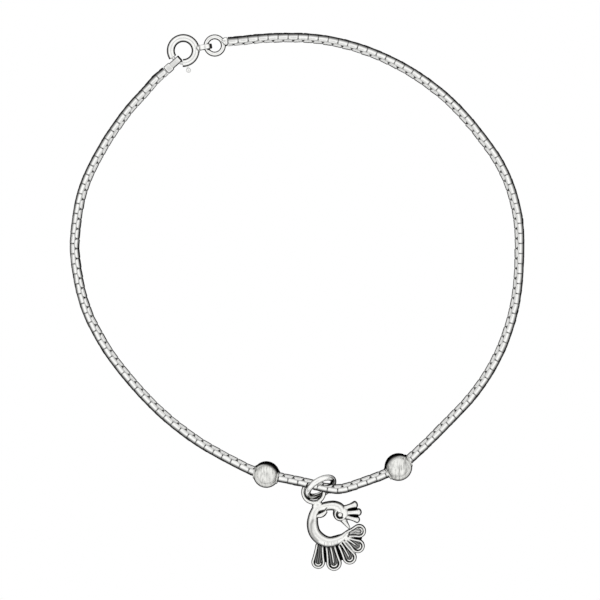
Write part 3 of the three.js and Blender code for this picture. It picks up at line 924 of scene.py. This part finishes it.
bm = bmesh.new()
bm.verts.layers.float.new("around")
add_spun(bm, wire_section(charm_ring["radius"], charm_ring["wire"], sides=20), steps=72)
add_limb(bm, stem_rows, flatness=0.6)
add_limb(bm, body_rows, flatness=0.78)
add_limb(bm, neck_rows, flatness=0.8)
add_limb(bm, beak_rows, flatness=0.8)
add_limb(bm, leaf_rows, flatness=0.9, height=0.12)
add_dome(bm, head["x"], head["y"], 0.0, (head["radius"], head["radius"], head["height"]))
add_dome(bm, eye["x"], eye["y"], eye["z"], (eye["radius"], eye["radius"], eye["height"]))
cheek_rows = []
cheek_span = (cheek["to"] - cheek["from"]) / 2
for bearing in range(cheek["from"], cheek["to"] + 1, cheek["step"]):
    from_middle = abs(bearing - cheek["from"] - cheek_span) / cheek_span
    half = cheek_half["middle"] + (cheek_half["end"] - cheek_half["middle"]) * from_middle
    turned = math.radians(bearing)
    cheek_x = cheek["x"] + cheek["radius"] * math.cos(turned)
    cheek_y = cheek["y"] + cheek["radius"] * math.sin(turned)
    cheek_rows.append((cheek_x, cheek_y, half))
add_limb(bm, cheek_rows, flatness=1.0, height=cheek["z"], steps=3, sides=10)
for from_x, from_y, to_x, to_y, half, knob, knob_length in plumes:
    waist_x = from_x + (to_x - from_x) * plume_waist
    waist_y = from_y + (to_y - from_y) * plume_waist
    plume_rows = [(from_x, from_y, half), (waist_x, waist_y, half), (to_x, to_y, knob)]
    add_limb(bm, plume_rows, plume_flatness)
    plume_turn = Matrix.Rotation(math.atan2(to_y - from_y, to_x - from_x), 4, "Z")
    add_dome(bm, to_x, to_y, 0.0, (knob_length, knob, knob * plume_flatness), plume_turn)
for row in feathers:
    add_feather(bm, row)
add_web(bm, plume_web)
add_web(bm, tail_web)
bmesh.ops.recalc_face_normals(bm, faces=bm.faces)
casting = object_from("peacock_charm_casting", bm)
fuse = casting.modifiers.new("fuse", "REMESH")
fuse.mode = "VOXEL"
fuse.voxel_size = charm_voxel
soften = casting.modifiers.new("soften", "SMOOTH")
soften.factor = 0.5
soften.iterations = 2
fused = dressed_mesh(casting)
bpy.data.objects.remove(casting)

bm = bmesh.new()
bm.from_mesh(fused)
rim = slice_mesh(bm, (0.0, 0.0, charm_back), (0.0, 0.0, -1.0))
bmesh.ops.holes_fill(bm, edges=rim)
oxide_and_shade = bm.verts.layers.float.new("oxide_and_shade")
bm.normal_update()
places = np.array([vert.co[:2] for vert in bm.verts])


def stroke_share(places, points, half):
    """How far each place is under a stroke through points: 1 at its middle, fading to its side."""
    nearest = np.full(len(places), np.inf)
    for one, other in zip(points, points[1:]):
        one = np.array(one)
        span = np.array(other) - one
        along = np.clip((places - one) @ span / (span @ span), 0.0, 1.0)
        nearest = np.minimum(nearest, np.linalg.norm(places - one - along[:, None] * span, axis=1))
    return np.exp(-((nearest / half) ** 2))


stroke_darkness = np.zeros(len(places))
stroke_depth = np.zeros(len(places))
for half, depth, dark, points in charm_strokes:
    share = stroke_share(places, points, half)
    stroke_darkness = np.maximum(stroke_darkness, dark * share)
    stroke_depth = np.maximum(stroke_depth, depth * share)
leaf_film = np.zeros(len(places))
for from_x, from_y, to_x, to_y, _, end, _, dark in feathers:
    forward = np.array((to_x - from_x, to_y - from_y))
    length = np.linalg.norm(forward)
    forward /= length
    along = (places - (from_x, from_y)) @ forward
    across = (places - (from_x, from_y)) @ (-forward[1], forward[0])
    inside = (np.abs(across) < end) & (along > -0.5) & (along < length + end)
    sway = streaks["sway"] * np.sin(along * streaks["sway_rate"])
    wave = np.sin(2 * math.pi * across / streaks["spacing"] + sway)
    leaf_film[inside] = dark + streaks["depth"] * wave[inside]
for index, vert in enumerate(bm.verts):
    deep = (oxide_high - vert.co.z) / oxide_high
    on_leaf = leaf_heights[0] < vert.co.z < leaf_heights[1] and vert.normal.z > leaf_facing_up
    if leaf_film[index] and on_leaf:
        deep = leaf_film[index]
    # Painted shade: on steep slopes and in the crescent round the eye.
    steep = (steep_from - vert.normal.z) / (steep_from - steep_full)
    eye_x = vert.co.x - eye["x"]
    eye_y = vert.co.y - eye["y"]
    near_eye = eye["radius"] < math.hypot(eye_x, eye_y) < eye_shade_crescent["radius"]
    eye_bearing = math.degrees(math.atan2(eye_y, eye_x)) % 360
    in_eye_shade = near_eye and eye_shade_crescent["from"] < eye_bearing < eye_shade_crescent["to"]
    vert[oxide_and_shade] = min(1.0, max(0.0, deep, steep, float(in_eye_shade), stroke_darkness[index]))
    if vert.normal.z < facing_back:
        vert[oxide_and_shade] = back_film
    elif vert.normal.z > facing_up:
        vert.co.z -= stroke_depth[index]
lean = turn_about("X", charm_ring["lean"])
roll = turn_about("Y", -charm_ring["roll"])
there = Matrix.Translation((charm_ring["x"], charm_ring["y"], charm_ring["z"]))
bmesh.ops.transform(bm, matrix=there @ lean @ roll, verts=bm.verts)
# The casting keeps a fine sandy grain from its mould, bright on top and nearly black in grooves and
# painted shade
cast_silver = silver_material(
    "oxidised_cast_silver",
    "#F2F2EF",
    "#0E0E0E",
    roughness=0.24,
    marks_mm=(0.22, 0.22, 0.22),
    marks_depth=0.55,
    marks_film=0.25,
)
charm = new_piece("peacock_charm_cast", bm, cast_silver, charm_crease)
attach(charm, "anklet")
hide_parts("peacock_charm")


# Clasp: a spring ring, 6 mm across, of silver tube bent nearly round. Its mouth is open for the
# strap, a slot in its outer side lets the trigger slide, and a loop of strip is soldered on.
clasp = {
    "x": -20.45,
    "y": 44.85,
    "z": 0.8,
    "radius": 2.24,
    "tube": 0.73,
    "bore": 0.4,
    "end_rounding": 0.05,
}
clasp_mouth = {"from": 213, "to": 268}
clasp_bore = {"from": 202, "to": 357}
clasp_slot = {"from": 278.6, "to": 353.4, "height": 0.52, "depth": 2.0}
eyelet = {
    "angle": 8.9,
    "distance": 3.95,
    "radius": 1.05,
    "wire": 0.25,
    "width": 0.9,
    "rounding": 0.14,
    "z": 1.3,
}
solder = {"reach": 2.92, "z": 0.5, "length": 0.62, "width": 0.56, "height": 0.74, "unshaded_reach": 0.68}
clasp_place = Matrix.Translation((clasp["x"], clasp["y"], clasp["z"]))


def add_arc(bm, radius, wire, start, end, sides=24, step=4):
    """A rod of round section bent round z, from one bearing to another in degrees."""
    held = set(bm.verts)
    angle = math.radians(end - start)
    add_spun(bm, wire_section(radius, wire, sides), math.ceil((end - start) / step), angle)
    made = [vert for vert in bm.verts if vert not in held]
    bmesh.ops.rotate(bm, matrix=turn_about("Z", start), verts=made)


def rounded_outline(radius, half_depth, half_width, corner, segments=4):
    """A rounded rectangle about a radius, as rows for add_spun."""
    outline = []
    for side, (outward, upward) in enumerate([(1, 1), (-1, 1), (-1, -1), (1, -1)]):
        corner_reach = radius + outward * (half_depth - corner)
        corner_along = upward * (half_width - corner)
        for step in range(segments + 1):
            angle = math.radians(90 * (side + step / segments))
            reach = corner_reach + corner * math.cos(angle)
            outline.append((reach, corner_along + corner * math.sin(angle)))
    return outline


def boolean_object(name, bm):
    """An object for a Boolean, its faces turned outward."""
    bmesh.ops.recalc_face_normals(bm, faces=bm.faces)
    return object_from(name, bm)


bm = bmesh.new()
add_arc(bm, clasp["radius"], clasp["tube"], clasp_mouth["to"], clasp_mouth["from"] + 360, 28)
round_ends(bm, clasp["end_rounding"])
tube = boolean_object("clasp_tube", bm)

bm = bmesh.new()
add_arc(bm, clasp["radius"], clasp["bore"], clasp_bore["from"], clasp_bore["to"], sides=20)
bore = boolean_object("clasp_bore", bm)

bm = bmesh.new()
half = clasp_slot["height"] / 2
slot_near = clasp["radius"]
slot_far = clasp["radius"] + clasp_slot["depth"]
slot_outline = [(slot_near, half), (slot_near, -half), (slot_far, -half), (slot_far, half)]
add_spun(bm, slot_outline, 20, math.radians(clasp_slot["to"] - clasp_slot["from"]))
bmesh.ops.rotate(bm, matrix=turn_about("Z", clasp_slot["from"]), verts=bm.verts)
slot = boolean_object("clasp_slot", bm)

for cutter in (bore, slot):
    cut = tube.modifiers.new("cut", "BOOLEAN")
    cut.operation = "DIFFERENCE"
    cut.solver = "EXACT"
    cut.object = cutter
hollowed = dressed_mesh(tube)
for spent in (tube, bore, slot):
    bpy.data.objects.remove(spent)

bm = bmesh.new()
bm.from_mesh(hollowed)
held = set(bm.verts)
strip = rounded_outline(eyelet["radius"], eyelet["wire"], eyelet["width"] / 2, eyelet["rounding"])
add_spun(bm, strip, steps=48)
loop_verts = [vert for vert in bm.verts if vert not in held]
upright = turn_about("X", 90)
out_there = Matrix.Translation((eyelet["distance"], 0.0, eyelet["z"] - clasp["z"]))
eyelet_turn = turn_about("Z", eyelet["angle"])
bmesh.ops.transform(bm, matrix=eyelet_turn @ out_there @ upright, verts=loop_verts)
solder_place = eyelet_turn @ Matrix.Translation((solder["reach"], 0.0, solder["z"]))
solder_size = Matrix.Diagonal((solder["length"], solder["width"], solder["height"], 1.0))
bmesh.ops.create_uvsphere(
    bm, u_segments=20, v_segments=12, radius=1.0, matrix=solder_place @ solder_size
)
bmesh.ops.recalc_face_normals(bm, faces=bm.faces)
# Painted shade on the steep sides of tube, loop and solder, then left off near the solder blob
paint_side_shade(bm, starts=0.88, full=0.68)
oxide_and_shade = bm.verts.layers.float["oxide_and_shade"]
for vert in bm.verts:
    if (vert.co - solder_place.translation).to_2d().length < solder["unshaded_reach"]:
        vert[oxide_and_shade] = 0.0
bmesh.ops.transform(bm, matrix=clasp_place, verts=bm.verts)
clasp_piece = new_piece("clasp_ring_tube", bm, wire_silver)
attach(clasp_piece, "anklet")
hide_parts("clasp_ring")


# Clasp tongue: the wire that closes the mouth, pushed by a coil spring hidden in the tube, with a
# flat lever through the slot and a round thumb nub on it, all of polished silver
tongue = {"wire": 0.28, "from": 206, "to": 292, "trigger": 285, "tip_rounding": 0.1}
trigger = {"width": 0.44, "height": 0.36, "reach": 4.1, "rounding": 0.05}
nub = {"radius": 0.42, "half_height": 0.25, "rounding": 0.14, "crown": 0.03}


def add_block(bm, place, size, rounding, segments=4):
    """A block with rounded edges, placed by a matrix."""
    held = set(bm.verts)
    bmesh.ops.create_cube(bm, size=1.0, matrix=place @ Matrix.Diagonal((*size, 1.0)))
    edges = {edge for vert in bm.verts if vert not in held for edge in vert.link_edges}
    round_edges(bm, list(edges), rounding, segments)


bm = bmesh.new()
add_arc(bm, clasp["radius"], tongue["wire"], tongue["from"], tongue["to"], sides=16)
round_ends(bm, tongue["tip_rounding"], segments=3)
wire_verts = set(bm.verts)
lever_end = trigger["reach"] - nub["radius"]
lever_length = lever_end - clasp["radius"]
lever_place = Matrix.Translation((clasp["radius"] + lever_length / 2, 0.0, 0.0))
lever_size = (lever_length, trigger["width"], trigger["height"])
add_block(bm, lever_place, lever_size, trigger["rounding"], segments=2)
held = set(bm.verts)
nub_rows = [(0.0, nub["half_height"] + nub["crown"])]
for bearing in (90, 60, 30, 0, -30, -60, -90):
    turned = math.radians(bearing)
    half = nub["half_height"] - nub["rounding"]
    reach = nub["radius"] - nub["rounding"] + nub["rounding"] * math.cos(turned)
    along = (half if bearing >= 0 else -half) + nub["rounding"] * math.sin(turned)
    nub_rows.append((reach, along))
nub_rows.append((0.0, -nub["half_height"]))
add_spun(bm, nub_rows, steps=24, closed=False)
nub_verts = [vert for vert in bm.verts if vert not in held]
bmesh.ops.translate(bm, vec=(lever_end, 0.0, 0.0), verts=nub_verts)
trigger_verts = [vert for vert in bm.verts if vert not in wire_verts]
bmesh.ops.rotate(bm, matrix=turn_about("Z", tongue["trigger"]), verts=trigger_verts)
bmesh.ops.transform(bm, matrix=clasp_place, verts=bm.verts)
# Painted shade on the steep sides of wire, lever and nub
tongue_piece = new_piece("clasp_tongue_wire", bm, wire_silver, steep_shade=(0.84, 0.62))
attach(tongue_piece, "tongue")
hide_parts("clasp_tongue")


# Left end: a strap of silver strip folded over the clasp's tongue, its two ends tucked and
# soldered into a square sleeve that closes the chain's end. Painted shade darkens the strip's long
# edges and the steep sides of strap and sleeve.
strap = {
    "bearing": 42,
    "mouth_bearing": 238.5,
    "slot": 0.4,
    "wall": 0.24,
    "width": 1.2,
    "back": -0.75,
    "tip": 0.26,
    "tuck": 0.4,
    "rounding": 0.1,
    "shade_line": 0.4,
    "shade_fade": 0.07,
}
sleeve = {"from": -2.62, "to": -1.2, "width": 1.56, "height": 1.4, "rounding": 0.26}
rim_crease = 1.2
bm = bmesh.new()
strap_loops = []
outer_loop = (strap["slot"] + strap["wall"], sleeve["to"] - strap["tuck"])
inner_loop = (strap["slot"], strap["back"])
for radius, back in (outer_loop, inner_loop):
    ring = bmesh.ops.create_circle(bm, segments=40, radius=radius)["verts"]
    for vert in ring:
        vert.co.x += strap["tip"] if vert.co.x > 0.0001 else back
    strap_loops.append({edge for vert in ring for edge in vert.link_edges})
fold = bmesh.ops.bridge_loops(bm, edges=list(strap_loops[0] | strap_loops[1]))["faces"]
raise_faces(bm, fold, strap["width"])
bmesh.ops.translate(bm, vec=(0.0, 0.0, -strap["width"] / 2), verts=bm.verts)
bmesh.ops.recalc_face_normals(bm, faces=bm.faces)
rims = [edge for edge in bm.edges if edge.calc_face_angle(0.0) > rim_crease]
round_edges(bm, rims, strap["rounding"], segments=3)
bmesh.ops.rotate(bm, matrix=turn_about("X", 90), verts=bm.verts)
# Painted shade along the strip's long edges
for side in (-strap["shade_line"], strap["shade_line"]):
    slice_mesh(bm, (0.0, side, 0.0), (0.0, 1.0, 0.0), clear_outer=False)
oxide_and_shade = bm.verts.layers.float.new("oxide_and_shade")
for vert in bm.verts:
    past_line = abs(vert.co.y) - strap["shade_line"]
    vert[oxide_and_shade] = min(1.0, max(0.0, past_line / strap["shade_fade"]))
sleeve_place = Matrix.Translation(((sleeve["from"] + sleeve["to"]) / 2, 0.0, 0.0))
sleeve_size = (sleeve["to"] - sleeve["from"], sleeve["width"], sleeve["height"])
add_block(bm, sleeve_place, sleeve_size, sleeve["rounding"])
mouth_middle = turn_about("Z", strap["mouth_bearing"]) @ Vector((clasp["radius"], 0.0, 0.0))
strap_turn = turn_about("Z", strap["bearing"])
strap_place = clasp_place @ Matrix.Translation(mouth_middle) @ strap_turn
bmesh.ops.transform(bm, matrix=strap_place, verts=bm.verts)
strap_piece = new_piece("end_loop_strap", bm, wire_silver, steep_shade=(0.95, 0.84))
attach(strap_piece, "anklet")
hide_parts("end_loop")


# Right end: a wire ring through the clasp's loop, joined to the chain's end by a square foot, with
# the grains of solder that ran out when it was joined
end_ring = {"distance": 5.73, "radius": 1.55, "wire": 0.45, "z": 1.15}
foot = {"length": 0.75, "side": 1.46, "fit_gap": 0.06, "rounding": 0.24}
grain_shape = (1.0, 0.85, 0.75)
solder_grains = [
    # along, inward and topward of the foot's middle in millimetres, and the grain's radius
    (0.38, -0.3, 0.5, 0.3),
    (0.3, 0.28, 0.56, 0.26),
    (0.05, 0.5, 0.42, 0.28),
    (0.42, 0.02, 0.46, 0.32),
    (0.1, -0.02, 0.64, 0.22),
    (0.34, 0.62, 0.2, 0.26),
]
bm = bmesh.new()
add_spun(bm, wire_section(end_ring["radius"], end_ring["wire"], sides=24), steps=80)
from_clasp = Vector((end_ring["distance"], 0.0, end_ring["z"] - clasp["z"]))
bmesh.ops.translate(bm, vec=clasp_place @ eyelet_turn @ from_clasp, verts=bm.verts)
chain_end = Vector(route_line[-1]) - part_shift
end_axes = [Vector(table[-1]) for table in (route_forward, route_inward, route_topward)]
along_end = Matrix(end_axes).transposed().to_4x4()
foot_middle = chain_end + end_axes[0] * (foot["fit_gap"] + foot["length"] / 2)
foot_place = Matrix.Translation(foot_middle) @ along_end
foot_size = (foot["length"], foot["side"], foot["side"])
add_block(bm, foot_place, foot_size, foot["rounding"])
squash = Matrix.Diagonal((*grain_shape, 1.0))
for along, inward, topward, radius in solder_grains:
    grain_place = foot_place @ Matrix.Translation((along, inward, topward))
    bmesh.ops.create_icosphere(bm, subdivisions=3, radius=radius, matrix=grain_place @ squash)
# Painted shade on the steep sides of ring, foot and grains
ring_piece = new_piece("end_ring_wire", bm, wire_silver, steep_shade=(0.9, 0.72))
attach(ring_piece, "anklet")
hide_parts("end_ring")
